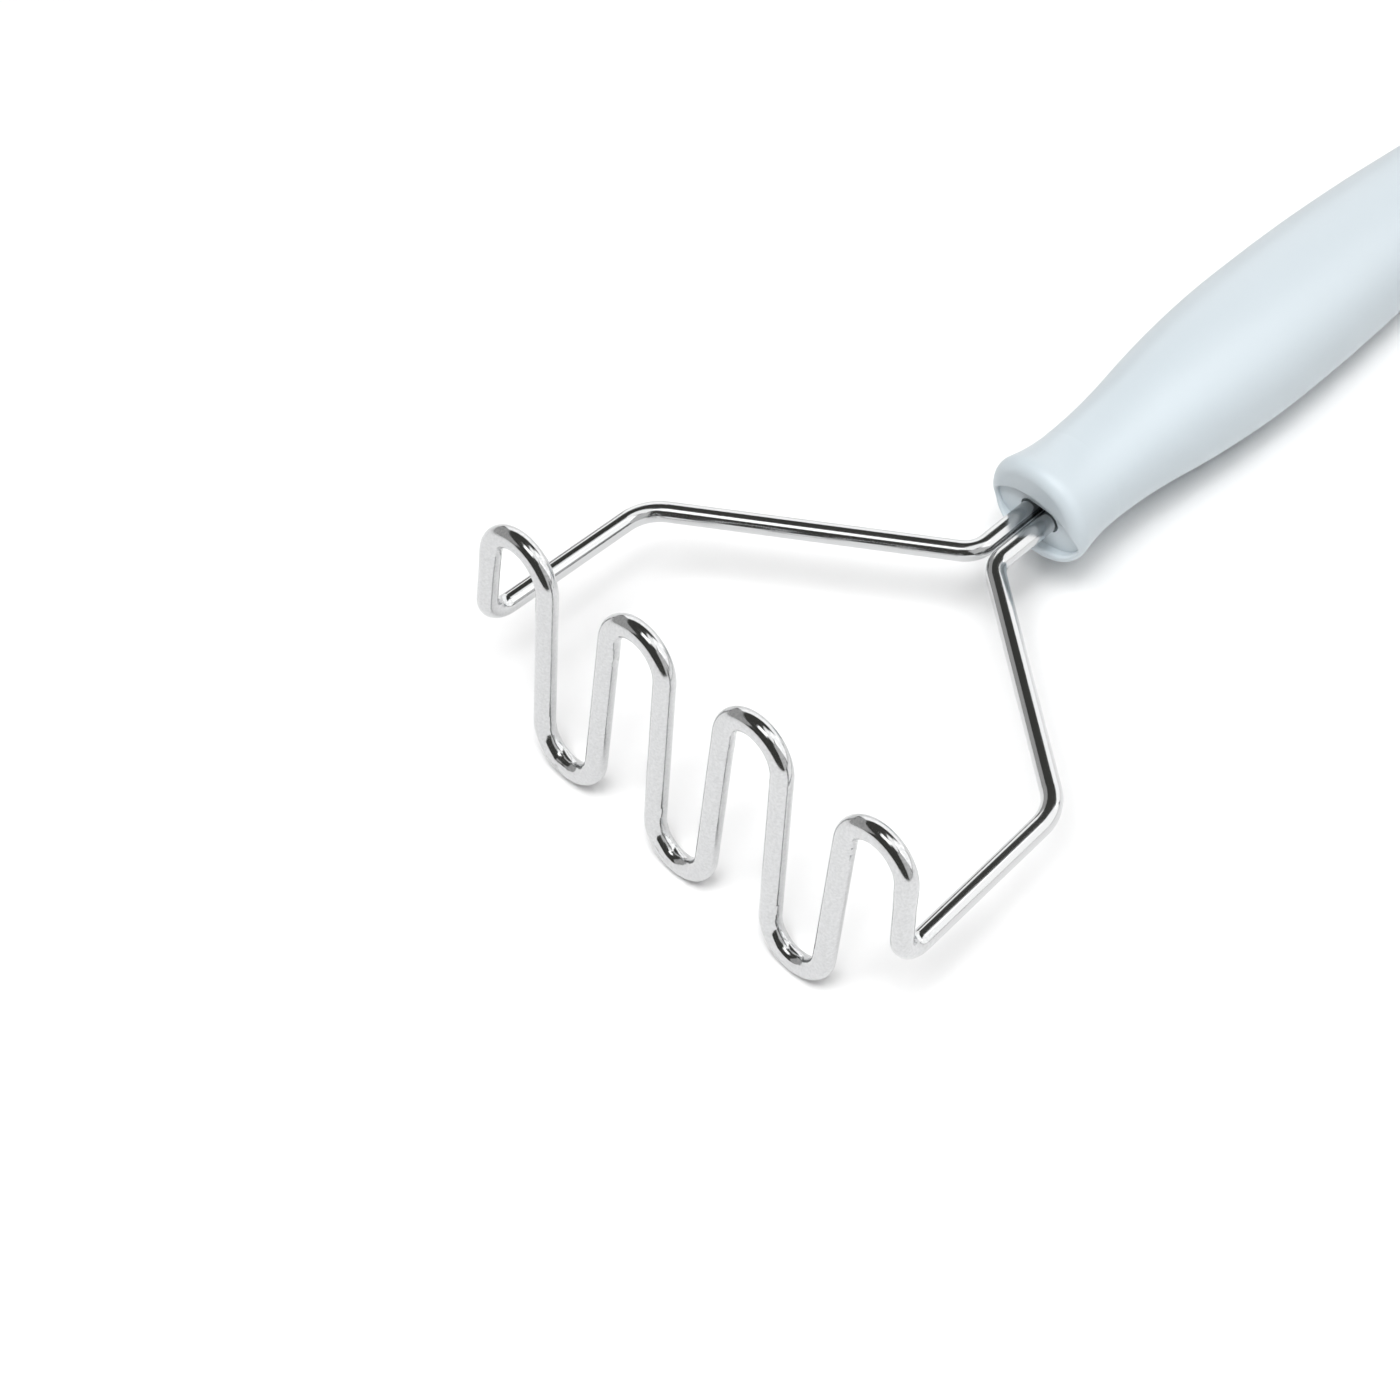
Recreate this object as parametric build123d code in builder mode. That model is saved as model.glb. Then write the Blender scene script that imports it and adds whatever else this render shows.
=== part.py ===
from build123d import *
import os
from math import acos, asin, atan, atan2, cos, degrees, radians, sin, sqrt, tan

# Potato masher: one chromed wire, bent into a wave and two arms, held by a moulded handle.
# The tool lies as it does on a table: X across the head, Y from the head to the handle, Z up.
# Lengths are millimetres and angles are degrees.

os.makedirs("parts", exist_ok=True)

# Wire stock and the pressed wave section
wire_d = 4.0
press_width = 4.4
press_thick = 3.7
blend_len = 5.0

# Wave, with the small differences between its bends that the bending leaves
half_pitch = 14.85
left_outer_out = 0.55
left_inner_in = 0.75
right_outer_in = 0.35
inner_top = 19.3
outer_top = 17.2
bottom_drop = 14.0
left_foot_lift = 1.1
top_r = 7.05
left_top_r = 7.7
bottom_r = 6.7
left_foot_r = 7.1
left_leg_lean = 3.0
right_leg_lean = 3.8

# Arms
left_shoulder_x = 52.1
right_shoulder_x = 50.3
left_shoulder_y = 38.1
right_shoulder_y = 40.5
neck_y = 73.1
corner_r = 4.6
shoulder_r = 9.1
neck_r = 5.6
tang_pitch = 4.4
tang_shift = 2.5
tang_grip = 48.0

# Lean of the wave to the arms
wave_lean = 10.1

# Handle
mouth_y = 86.0
handle_len = 128.0
handle_rise = 1.4
mouth_r = 11.5
mouth_rim_r = 2.5
mouth_flare = 14.4
waist_r = 10.25
turn_r = 11.8
grip_r = 14.6
taper_r = 12.65
waist_share = 0.098
turn_share = 0.242
grip_share = 0.5
fall_share = 0.52
rest_share = 0.72
taper_share = 0.84

# Oval recess in the mouth, tang slot and tang bores
recess_half_w = 10.0
recess_half_h = 6.1
recess_drop = 1.9
recess_depth = 1.8
recess_edge_r = 0.5
slot_side_gap = 0.4
slot_depth = 8.0
tang_clear = 0.1
bore_extra = 1.0

# Hanging hole
hang_d = 6.5
hang_inset = 13.0
hang_edge_r = 1.0

# Height of the arms' plane over the table at the wave, and its fall to where the grip rests
wire_r = wire_d / 2
rest_run = (rest_share - fall_share) / (taper_share - fall_share)
rest_r = grip_r - (grip_r - taper_r) * rest_run * rest_run
press_flat = (press_width - press_thick) / 2
foot_reach = bottom_drop + bottom_r + press_flat
rest_y = mouth_y + handle_len * rest_share
height_sum = press_thick / 2 + handle_rise - rest_r
first_fall = asin((foot_reach * cos(radians(wave_lean)) + height_sum) / rest_y)
arm_fall = degrees(asin((foot_reach * cos(radians(wave_lean) + first_fall) + height_sum) / rest_y))
full_lean = wave_lean + arm_fall
rest_height = foot_reach * cos(radians(full_lean)) + press_thick / 2

# Corners where the end legs reach the arms' plane
left_bend_x = -3 * half_pitch - left_outer_out
right_bend_x = 3 * half_pitch - right_outer_in
left_corner_x = left_bend_x - left_top_r / cos(radians(left_leg_lean)) - outer_top * tan(radians(left_leg_lean))
right_corner_x = right_bend_x + top_r / cos(radians(right_leg_lean)) + outer_top * tan(radians(right_leg_lean))

# Place of the wave's middle in the frame whose origin is under the middle of the tool
wave_back = foot_reach * sin(radians(full_lean)) + press_thick / 2
tail_front = (mouth_y + handle_len) * cos(radians(arm_fall))
origin_x = -(left_corner_x + right_corner_x) / 2
origin_y = (wave_back - tail_front) / 2
origin_pt = (origin_x, origin_y, rest_height)
arms_plane = Plane(
    origin=origin_pt,
    x_dir=(1, 0, 0),
    z_dir=(0, sin(radians(arm_fall)), cos(radians(arm_fall))),
)
wave_plane = Plane(
    origin=origin_pt,
    x_dir=(1, 0, 0),
    z_dir=(0, -cos(radians(full_lean)), sin(radians(full_lean))),
)

# Bend centres and centreline radii of the wave, from left to right
tops = [
    (left_bend_x, outer_top, left_top_r),
    (left_inner_in - half_pitch, inner_top, top_r),
    (half_pitch, inner_top, top_r),
    (right_bend_x, outer_top, top_r),
]
feet = [
    (-2 * half_pitch, left_foot_lift - bottom_drop, left_foot_r),
    (0, -bottom_drop, bottom_r),
    (2 * half_pitch, -bottom_drop, bottom_r),
]


# Points where the straight leg between a top bend and a foot bend touches them
def leg_points(top, foot):
    dx = foot[0] - top[0]
    dz = foot[1] - top[1]
    reach = sqrt(dx * dx + dz * dz)
    turn = acos((top[2] + foot[2]) / reach)
    side = 1 if dx > 0 else -1
    a = atan2(dz, dx) + side * turn
    touch_top = (top[0] + top[2] * cos(a), top[1] + top[2] * sin(a))
    touch_foot = (foot[0] - foot[2] * cos(a), foot[1] - foot[2] * sin(a))
    return touch_top, touch_foot


# Point where an end leg leaves its outer bend, on the left or the right
def end_leave(top, lean, side):
    a = radians(lean)
    return (top[0] + side * top[2] * cos(a), top[1] + top[2] * sin(a))


left_leave = end_leave(tops[0], left_leg_lean, -1)
right_leave = end_leave(tops[-1], right_leg_lean, 1)
left_corner = (left_corner_x, 0)
right_corner = (right_corner_x, 0)


# Point part way along a straight run
def along(start, end, run):
    dx = end[0] - start[0]
    dz = end[1] - start[1]
    reach = sqrt(dx * dx + dz * dz)
    return (start[0] + dx / reach * run, start[1] + dz / reach * run)


left_round = along(left_leave, left_corner, blend_len)
right_round = along(right_leave, right_corner, blend_len)

# Arm corners in space
arm_u = Vector(0, cos(radians(arm_fall)), -sin(radians(arm_fall)))
rest_pt = Vector(origin_x, origin_y, rest_height)
left_tang_x = tang_shift - tang_pitch / 2
right_tang_x = tang_shift + tang_pitch / 2
tang_end_y = mouth_y + tang_grip


# Point of the arms' plane
def arm_pt(x, y):
    return rest_pt + Vector(x, 0, 0) + arm_u * y


# Masher wire: round stock, lightly pressed along the wave, plain on the arms and tangs
left_start = wave_plane.from_local_coords((left_round[0], left_round[1], 0))
right_start = wave_plane.from_local_coords((right_round[0], right_round[1], 0))
left_blend_start = wave_plane.from_local_coords((left_leave[0], left_leave[1], 0))
right_blend_start = wave_plane.from_local_coords((right_leave[0], right_leave[1], 0))
wave_normal = wave_plane.z_dir


# Axis that a bend of the path turns about, in the direction of travel
def bend_axis(bend):
    center = bend.arc_center
    return Axis(center, (bend @ 0 - center).cross(bend % 0))


with BuildLine(wave_plane) as wave_path:
    last = left_leave
    for i, top in enumerate(tops):
        stop = right_leave
        if i < len(feet):
            stop = leg_points(top, feet[i])[0]
        ThreePointArc(last, (top[0], top[1] + top[2]), stop)
        if i < len(feet):
            foot = feet[i]
            foot_in = leg_points(top, foot)[1]
            foot_out = leg_points(tops[i + 1], foot)[1]
            next_start = leg_points(tops[i + 1], foot)[0]
            Line(stop, foot_in)
            ThreePointArc(foot_in, (foot[0], foot[1] - foot[2]), foot_out)
            Line(foot_out, next_start)
            last = next_start

# Each arm: end leg, corner, side arm, shoulder, cross arm, neck and tang
with BuildLine() as left_arm:
    FilletPolyline(
        left_start,
        arm_pt(left_corner_x, 0),
        arm_pt(-left_shoulder_x, left_shoulder_y),
        arm_pt(left_tang_x, neck_y),
        arm_pt(left_tang_x, tang_end_y),
        radius=[corner_r, shoulder_r, neck_r],
    )
with BuildLine() as right_arm:
    FilletPolyline(
        right_start,
        arm_pt(right_corner_x, 0),
        arm_pt(right_shoulder_x, right_shoulder_y),
        arm_pt(right_tang_x, neck_y),
        arm_pt(right_tang_x, tang_end_y),
        radius=[corner_r, shoulder_r, neck_r],
    )

with BuildPart() as masher_wire:
    # Wave in the pressed section: a straight leg is extruded and a bend is turned about its centre
    for run in wave_path.edges():
        with BuildSketch(Plane(origin=run @ 0, x_dir=wave_normal, z_dir=run % 0)):
            SlotOverall(press_width, press_thick, rotation=90)
        if run.geom_type == GeomType.LINE:
            extrude(amount=run.length)
        else:
            revolve(axis=bend_axis(run), revolution_arc=degrees(run.length / run.radius))

    # Blends from the pressed section to the round stock at both ends of the wave
    for blend_start, blend_end in ((left_blend_start, left_start), (right_blend_start, right_start)):
        with BuildSketch(Plane(origin=blend_start, x_dir=wave_normal, z_dir=blend_end - blend_start)):
            SlotOverall(press_width, press_thick, rotation=90)
        with BuildSketch(Plane(origin=blend_end, x_dir=wave_normal, z_dir=blend_end - blend_start)):
            Circle(wire_r)
        loft()

    # Arms and tangs in the round stock
    for run in left_arm.edges() + right_arm.edges():
        with BuildSketch(Plane(origin=run @ 0, z_dir=run % 0)):
            Circle(wire_r)
        if run.geom_type == GeomType.LINE:
            extrude(amount=run.length)
        else:
            revolve(axis=bend_axis(run), revolution_arc=degrees(run.length / run.radius))

masher_wire.part.label = "masher_wire"
export_step(masher_wire.part, "parts/masher_wire.step")

# Handle: moulded grip with a rimmed mouth, a tang slot and a hanging hole
mouth_center = arm_pt(tang_shift, mouth_y) + arms_plane.z_dir * handle_rise
mouth_plane = Plane(origin=mouth_center, x_dir=(1, 0, 0), z_dir=arm_u)
profile_plane = Plane(origin=mouth_center, x_dir=arm_u, z_dir=arms_plane.z_dir)
slot_w = tang_pitch + wire_d + 2 * slot_side_gap
slot_h = wire_d + 2 * slot_side_gap
bore_r = wire_r + tang_clear

# Grip's fall to the taper, and the centre of the ball that the taper meets at the tail
fall_y = fall_share * handle_len
taper_y = taper_share * handle_len
taper_slope = 2 * (grip_r - taper_r) / (taper_y - fall_y)
taper_lean = degrees(atan(taper_slope))
taper_apex_y = taper_y + taper_r / taper_slope
tail_y = (handle_len - taper_apex_y * sin(radians(taper_lean))) / (1 - sin(radians(taper_lean)))
bore_depth = tang_grip + bore_extra

with BuildPart() as handle:
    # Turned body with the rounded rim and the round tail
    with BuildSketch(profile_plane):
        with BuildLine():
            face = Line((0, 0), (0, mouth_r - mouth_rim_r))
            rim = CenterArc(
                (mouth_rim_r, mouth_r - mouth_rim_r),
                mouth_rim_r,
                180,
                -90 - mouth_flare,
            )
            waist = TangentArc(rim @ 1, (waist_share * handle_len, waist_r), tangent=rim % 1)
            turn = TangentArc(waist @ 1, (turn_share * handle_len, turn_r), tangent=waist % 1)
            swell_corner = (
                turn_share * handle_len + (grip_r - turn_r) * (turn % 1).X / (turn % 1).Y,
                grip_r,
            )
            swell = Bezier(turn @ 1, swell_corner, (grip_share * handle_len, grip_r))
            grip = Line(swell @ 1, (fall_y, grip_r))
            fall = Bezier(grip @ 1, ((fall_y + taper_y) / 2, grip_r), (taper_y, taper_r))
            tail = CenterArc((tail_y, 0), handle_len - tail_y, 90 - taper_lean, taper_lean - 90)
            Line(fall @ 1, tail @ 0)
            Line(tail @ 1, face @ 0)
        make_face()
    revolve(axis=Axis(mouth_center, arm_u))

    # Shallow oval recess, a little low in the mouth
    with BuildSketch(mouth_plane):
        with Locations((0, recess_drop)):
            Ellipse(recess_half_w, recess_half_h)
    extrude(amount=recess_depth, mode=Mode.SUBTRACT)
    recess_lip = handle.edges(Select.LAST).filter_by(
        lambda edge: (edge.center() - mouth_center).dot(arm_u) < recess_depth / 2
    )
    fillet(recess_lip, radius=recess_edge_r)

    # Slot that takes both tangs
    with BuildSketch(mouth_plane.offset(recess_depth)):
        with Locations((0, handle_rise)):
            SlotOverall(slot_w, slot_h)
    extrude(amount=slot_depth, mode=Mode.SUBTRACT)

    # Two blind bores that grip the tangs
    with BuildSketch(mouth_plane):
        with Locations((-tang_pitch / 2, handle_rise), (tang_pitch / 2, handle_rise)):
            Circle(bore_r)
    extrude(amount=bore_depth, mode=Mode.SUBTRACT)

    # Hanging hole near the tail
    hang_plane = Plane(
        origin=mouth_center + arm_u * (handle_len - hang_inset),
        x_dir=(1, 0, 0),
        z_dir=arms_plane.z_dir,
    )
    with BuildSketch(hang_plane):
        Circle(hang_d / 2)
    extrude(amount=grip_r * 2, both=True, mode=Mode.SUBTRACT)
    fillet(handle.edges(Select.LAST).filter_by(GeomType.LINE, reverse=True), radius=hang_edge_r)

handle.part.label = "handle"
export_step(handle.part, "parts/handle.step")
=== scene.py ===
import math

import bmesh
import bpy
from mathutils import Matrix, Vector

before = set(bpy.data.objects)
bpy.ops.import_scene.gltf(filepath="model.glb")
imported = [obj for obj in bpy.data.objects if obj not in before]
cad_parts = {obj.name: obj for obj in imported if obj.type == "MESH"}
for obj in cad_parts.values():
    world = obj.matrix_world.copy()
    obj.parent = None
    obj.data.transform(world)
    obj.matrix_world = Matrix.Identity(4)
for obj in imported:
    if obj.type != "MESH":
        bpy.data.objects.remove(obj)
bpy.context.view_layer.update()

# The masher wire
# One length of steel wire of 4 mm, bent into a wave and two arms, and lightly pressed along the wave.
# It is plated with bright chrome after bending, so the finish runs on without a seam. The pressing
# leaves a fine grain on the wave, and dents inside its bends, where the forming pins gripped it.
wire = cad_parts["masher_wire"]
chrome_dark = (0.53, 0.535, 0.54)
chrome_light = (0.64, 0.645, 0.65)
chrome_roughness = (0.11, 0.17)
noise_middle = 0.5
noise_spread = (0.3, 0.7)
grain_scale = 2000.0
grain_contrast = 2.5
grain_height = 0.008
dent_scale = 380.0
dent_detail = 0.5
relief_strength = 0.7
relief_depth = 0.0006

# Places of the wave's bends, from the frame's origin
bend_pitch = 0.0297
middle_foot_x = 0.00065
middle_top_x = middle_foot_x + bend_pitch / 2
foot_centre_z = 0.0087
top_centre_z = 0.0408
inside_reach = 0.0062
inside_fade = 0.0012
wave_back_y = -0.094
wave_fade = 0.004


def wear_group():
    """Masks that break up a smooth finish: slow cloudiness and fine marks."""
    group = bpy.data.node_groups.new("finish_wear", "ShaderNodeTree")
    for socket, default in (("Cloud Scale", 40.0), ("Mark Scale", 900.0)):
        made = group.interface.new_socket(socket, in_out="INPUT", socket_type="NodeSocketFloat")
        made.default_value = default
    group.interface.new_socket("Vector", in_out="INPUT", socket_type="NodeSocketVector")
    group.interface.new_socket("Clouds", in_out="OUTPUT", socket_type="NodeSocketFloat")
    group.interface.new_socket("Marks", in_out="OUTPUT", socket_type="NodeSocketFloat")
    nodes, links = group.nodes, group.links
    inputs, outputs = nodes.new("NodeGroupInput"), nodes.new("NodeGroupOutput")
    for name, scale, detail in (("Clouds", "Cloud Scale", 2.0), ("Marks", "Mark Scale", 5.0)):
        noise = nodes.new("ShaderNodeTexNoise")
        noise.inputs["Detail"].default_value = detail
        links.new(inputs.outputs["Vector"], noise.inputs["Vector"])
        links.new(inputs.outputs[scale], noise.inputs["Scale"])
        links.new(noise.outputs["Fac"], outputs.inputs[name])
    return group


wear = wear_group()


def new_material(name, cloud_scale):
    """A material with its Principled shader and the wear group on Object coordinates."""
    material = bpy.data.materials.new(name)
    material.use_nodes = True
    nodes, links = material.node_tree.nodes, material.node_tree.links
    place = nodes.new("ShaderNodeTexCoord")
    group = nodes.new("ShaderNodeGroup")
    group.node_tree = wear
    group.inputs["Cloud Scale"].default_value = cloud_scale
    links.new(place.outputs["Object"], group.inputs["Vector"])
    return material, nodes, links, nodes["Principled BSDF"], group


def math_node(nodes, links, operation, *values):
    """A Math node whose inputs are numbers or other nodes' outputs."""
    node = nodes.new("ShaderNodeMath")
    node.operation = operation
    for socket, value in zip(node.inputs, values):
        if isinstance(value, (int, float)):
            socket.default_value = value
        else:
            links.new(value, socket)
    return node.outputs["Value"]


def map_range(nodes, links, value, from_range, to_range):
    """Maps a value from one range to another, and holds it past the ends."""
    ramp = nodes.new("ShaderNodeMapRange")
    ramp.inputs["From Min"].default_value, ramp.inputs["From Max"].default_value = from_range
    ramp.inputs["To Min"].default_value, ramp.inputs["To Max"].default_value = to_range
    links.new(value, ramp.inputs["Value"])
    return ramp.outputs["Result"]


def mix_colours(nodes, links, factor, low, high):
    """Goes from low at factor 0 to high at factor 1. Each is a colour or another node's output."""
    mix = nodes.new("ShaderNodeMix")
    mix.data_type = "RGBA"
    links.new(factor, mix.inputs["Factor"])
    for socket, colour in (("A", low), ("B", high)):
        if isinstance(colour, tuple):
            mix.inputs[socket].default_value = (*colour, 1.0)
        else:
            links.new(colour, mix.inputs[socket])
    return mix.outputs["Result"]


def from_bend(nodes, links, place, bend_x, bend_z):
    """Distance from the nearest of a row of bend centres, one pitch apart."""
    aside = math_node(nodes, links, "SUBTRACT", place.outputs["X"], bend_x)
    aside = math_node(nodes, links, "WRAP", aside, bend_pitch / 2, -bend_pitch / 2)
    above = math_node(nodes, links, "SUBTRACT", place.outputs["Z"], bend_z)
    aside_squared = math_node(nodes, links, "MULTIPLY", aside, aside)
    above_squared = math_node(nodes, links, "MULTIPLY", above, above)
    return math_node(nodes, links, "SQRT", math_node(nodes, links, "ADD", aside_squared, above_squared))


chrome, nodes, links, shader, group = new_material("chrome_wire", cloud_scale=60.0)
group.inputs["Mark Scale"].default_value = grain_scale
coordinates = nodes.new("ShaderNodeTexCoord")
split = nodes.new("ShaderNodeSeparateXYZ")
links.new(coordinates.outputs["Object"], split.inputs["Vector"])
on_wave = map_range(nodes, links, split.outputs["Y"], (wave_back_y - wave_fade, wave_back_y), (1.0, 0.0))
grain = math_node(nodes, links, "SUBTRACT", group.outputs["Marks"], noise_middle)
grain = math_node(nodes, links, "MULTIPLY", grain, on_wave)
tint_share = math_node(nodes, links, "MULTIPLY_ADD", grain, grain_contrast, noise_middle)
tint = mix_colours(nodes, links, tint_share, chrome_dark, chrome_light)
links.new(tint, shader.inputs["Base Color"])
shader.inputs["Metallic"].default_value = 1.0
roughness = map_range(nodes, links, group.outputs["Clouds"], noise_spread, chrome_roughness)
links.new(roughness, shader.inputs["Roughness"])

# Dents inside the bends
foot_way = from_bend(nodes, links, split, middle_foot_x, foot_centre_z)
top_way = from_bend(nodes, links, split, middle_top_x, top_centre_z)
inside = math_node(nodes, links, "MINIMUM", foot_way, top_way)
inside = map_range(nodes, links, inside, (inside_reach - inside_fade, inside_reach), (1.0, 0.0))
inside = math_node(nodes, links, "MULTIPLY", inside, on_wave)
dents = nodes.new("ShaderNodeTexNoise")
dents.inputs["Scale"].default_value = dent_scale
dents.inputs["Detail"].default_value = dent_detail
links.new(coordinates.outputs["Object"], dents.inputs["Vector"])
height = math_node(nodes, links, "MULTIPLY", dents.outputs["Fac"], inside)
height = math_node(nodes, links, "MULTIPLY_ADD", grain, grain_height, height)
relief = nodes.new("ShaderNodeBump")
relief.inputs["Strength"].default_value = relief_strength
relief.inputs["Distance"].default_value = relief_depth
links.new(height, relief.inputs["Height"])
links.new(relief.outputs["Normal"], shader.inputs["Normal"])
for place in wire.material_slots:
    place.material = chrome

# The handle
# One moulding of glossy pale blue plastic, with a rimmed mouth that the two tangs enter side by side.
# The tangs are pressed into their bores.
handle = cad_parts["handle"]
blue_deep = (0.535, 0.597, 0.635)
blue_pale = (0.555, 0.617, 0.655)
plastic_roughness = (0.29, 0.35)
plastic, nodes, links, shader, group = new_material("blue_plastic", cloud_scale=18.0)
clouds = group.outputs["Clouds"]
links.new(mix_colours(nodes, links, clouds, blue_deep, blue_pale), shader.inputs["Base Color"])
links.new(map_range(nodes, links, clouds, noise_spread, plastic_roughness), shader.inputs["Roughness"])
for place in handle.material_slots:
    place.material = plastic

# The table
# A plain white table under the tool. It takes the soft shadows, and reads white in the chrome. Far from
# the tool it glows white to the camera, where the lamps no longer reach it.
table_size = 4.0
table_white = (0.9, 0.9, 0.9)
glow_reach = (0.3, 0.6)
backdrop_white = (1.0, 1.0, 1.0)
table_mesh = bpy.data.meshes.new("table")
work = bmesh.new()
bmesh.ops.create_grid(work, x_segments=1, y_segments=1, size=table_size / 2)
work.to_mesh(table_mesh)
work.free()
table = bpy.data.objects.new("table", table_mesh)
bpy.context.scene.collection.objects.link(table)
table_finish = bpy.data.materials.new("table_white")
table_finish.use_nodes = True
nodes, links = table_finish.node_tree.nodes, table_finish.node_tree.links
shader = nodes["Principled BSDF"]
shader.inputs["Base Color"].default_value = (*table_white, 1.0)
shader.inputs["Roughness"].default_value = 1.0
shader.inputs["Specular IOR Level"].default_value = 0.0
coordinates = nodes.new("ShaderNodeTexCoord")
reach = nodes.new("ShaderNodeVectorMath")
reach.operation = "LENGTH"
links.new(coordinates.outputs["Object"], reach.inputs[0])
far = map_range(nodes, links, reach.outputs["Value"], glow_reach, (0.0, 1.0))
path = nodes.new("ShaderNodeLightPath")
glow = math_node(nodes, links, "MULTIPLY", far, path.outputs["Is Camera Ray"])
shader.inputs["Emission Color"].default_value = (*backdrop_white, 1.0)
links.new(glow, shader.inputs["Emission Strength"])
table_mesh.materials.append(table_finish)

# Light
# Soft lamps overhead, to the right and behind make the shadows, with a faint room light all round. White
# panels over the table and round it show in the chrome, and the room behind the camera shows dark in it.
# The camera sees the room as a white backdrop.
room_fill = (0.12, 0.12, 0.12)
room_seen = (0.06, 0.06, 0.056)
lit_centre = Vector((0.0, -0.06, 0.02))
world = bpy.data.worlds.new("room")
bpy.context.scene.world = world
world.use_nodes = True
nodes, links = world.node_tree.nodes, world.node_tree.links
path = nodes.new("ShaderNodeLightPath")
room = mix_colours(nodes, links, path.outputs["Is Glossy Ray"], room_fill, room_seen)
backdrop = mix_colours(nodes, links, path.outputs["Is Camera Ray"], room, backdrop_white)
links.new(backdrop, nodes["Background"].inputs["Color"])


def direction(heading, height):
    """A unit vector at a heading clockwise from +Y and a height over the table, both in degrees."""
    heading, height = math.radians(heading), math.radians(height)
    level = math.cos(height)
    return Vector((math.sin(heading) * level, math.cos(heading) * level, math.sin(height)))


def soft_lamp(name, heading, height, distance, half_across, half_up, radiance):
    """A rectangular lamp in a direction from the tool, that covers half_across and half_up degrees
    to each side as the tool sees it."""
    data = bpy.data.lights.new(name, "AREA")
    data.shape = "RECTANGLE"
    data.size = 2 * distance * math.tan(math.radians(half_across))
    data.size_y = 2 * distance * math.tan(math.radians(half_up))
    data.energy = radiance * math.pi * data.size * data.size_y
    lamp = bpy.data.objects.new(name, data)
    bpy.context.scene.collection.objects.link(lamp)
    toward = direction(heading, height)
    lamp.location = lit_centre + toward * distance
    lamp.rotation_euler = toward.to_track_quat("Z", "Y").to_euler()
    lamp.visible_camera = False
    return lamp


def key_lamp(*place):
    """A lamp that lights the table and the plastic, and doesn't show in the chrome."""
    soft_lamp(*place).visible_glossy = False


def seen_panel(*place):
    """A panel that shows in what is glossy, and doesn't wash out the shadows."""
    soft_lamp(*place).visible_diffuse = False


key_lamp("overhead_lamp", 180, 77, 1.2, 16, 14, 7.2)
key_lamp("right_lamp", 90, 68, 1.2, 14, 14, 4.3)
key_lamp("front_right_lamp", 135, 60, 1.2, 14, 14, 3.4)
key_lamp("back_lamp", 0, 62, 1.4, 30, 14, 1.2)
seen_panel("ceiling_panel", 180, 70, 1.2, 12, 11, 2.1)
seen_panel("high_right_panel", 70, 73, 1.2, 22, 14, 1.4)
seen_panel("right_screen", 45, 30, 1.6, 22, 29, 1.5)
seen_panel("far_right_screen", 92, 27, 1.6, 22, 27, 0.65)
seen_panel("back_screen", -22, 18, 1.8, 43, 19, 1.5)
seen_panel("left_wall", -110, 18, 2.2, 40, 19, 0.4)

# Camera
# The camera looks down across the head from its right, turned a little about its own axis.
sensor_width = 36.0
lens = 78.92
nearest_seen = 0.01
camera_heading = 125.066
camera_height = 54.316
camera_roll = math.radians(-10.323)
camera_distance = 0.54738
camera_target = Vector((-0.01049, -0.08946, 0.0223))
camera_data = bpy.data.cameras.new("camera")
camera_data.sensor_width = sensor_width
camera_data.lens = lens
camera_data.clip_start = nearest_seen
camera = bpy.data.objects.new("camera", camera_data)
bpy.context.scene.collection.objects.link(camera)
back = direction(camera_heading, camera_height)
level_right = Vector((0.0, 0.0, 1.0)).cross(back).normalized()
level_up = back.cross(level_right)
right = level_right * math.cos(camera_roll) + level_up * math.sin(camera_roll)
up = back.cross(right)
turn = Matrix((right, up, back)).transposed()
camera.matrix_world = Matrix.Translation(camera_target + back * camera_distance) @ turn.to_4x4()
bpy.context.scene.camera = camera
bpy.context.scene.view_settings.view_transform = "Standard"
